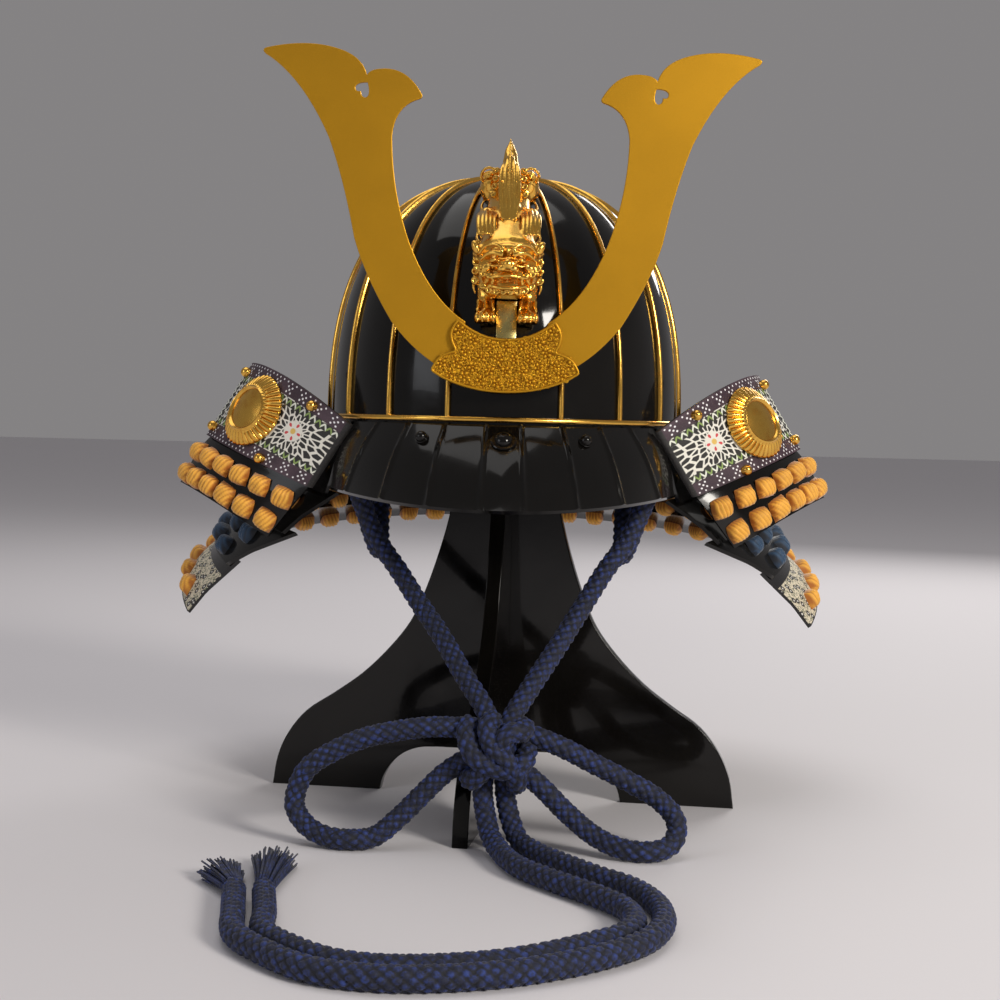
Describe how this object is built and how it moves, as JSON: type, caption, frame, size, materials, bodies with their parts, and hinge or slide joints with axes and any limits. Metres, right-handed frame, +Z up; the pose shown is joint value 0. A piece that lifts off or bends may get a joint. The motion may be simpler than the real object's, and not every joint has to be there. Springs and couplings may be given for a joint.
{
  "type": "kabuto samurai helmet on a display stand",
  "caption": "Ribbed samurai helmet with a flared neck guard, turned-back cheek plates, horned crest and lion, tied with a cord and set on a crossed-board stand.",
  "frame": {"origin": "on the floor under the middle of the helmet and stand, the cord left out", "axes": "+Z up, the front of the helmet faces -Y, +X to the right as seen from the front"},
  "size_m": [0.4348, 0.6386, 0.4647],
  "materials": {
    "lacquer": "high gloss black lacquer",
    "stand_lacquer": "gloss black lacquer",
    "gilt": "polished gilt",
    "pale_brass": "plain polished brass",
    "satin_gold": "satin gilt",
    "printed_leather": "printed leather",
    "orange_silk": "silk braid",
    "navy_silk": "silk braid",
    "navy_cord": "round braided cord"
  },
  "bodies": {
    "root": {"stand_board_wide": "stand_lacquer", "stand_board_deep": "stand_lacquer", "bowl": "navy_cord", "rib_01": "gilt", "rib_02": "gilt", "rib_03": "gilt", "rib_04": "gilt", "rib_05": "gilt", "rib_06": "gilt", "rib_07": "gilt", "rib_08": "gilt", "rib_09": "gilt", "rib_10": "gilt", "rib_11": "gilt", "rib_12": "gilt", "rib_13": "gilt", "rib_14": "gilt", "rib_15": "gilt", "rib_16": "gilt", "rim_bead": "gilt", "crown_fitting": "gilt", "visor": "lacquer", "visor_rivet_centre": "lacquer", "visor_rivet_left": "lacquer", "visor_rivet_right": "lacquer", "crest_prong": "pale_brass", "crest_holder": "satin_gold", "lion": "gilt", "lame_1": "lacquer", "lame_2": "lacquer", "lame_3": "lacquer", "lame_4": "lacquer", "horn_left": "satin_gold", "turnback_left": "printed_leather", "turnback_lower_left": "lacquer", "boss_left": "gilt", "lacing_left_upper": "orange_silk", "lacing_left_lower": "orange_silk", "horn_right": "satin_gold", "turnback_right": "printed_leather", "turnback_lower_right": "lacquer", "boss_right": "gilt", "lacing_right_upper": "orange_silk", "lacing_right_lower": "orange_silk", "lacing_lame_2_upper": "orange_silk", "lacing_lame_2_lower": "orange_silk", "lacing_lame_3_upper": "navy_silk", "lacing_lame_3_lower": "navy_silk", "lacing_lame_4": "orange_silk", "strap_left": "navy_cord", "strap_right": "navy_cord", "rear_cord": "navy_cord", "bow_left": "navy_cord", "bow_right": "navy_cord", "tail_inner": "navy_cord", "tail_outer": "navy_cord", "knot": "navy_cord", "tassel_inner": "navy_cord", "tassel_outer": "navy_cord"}
  },
  "joints": []
}
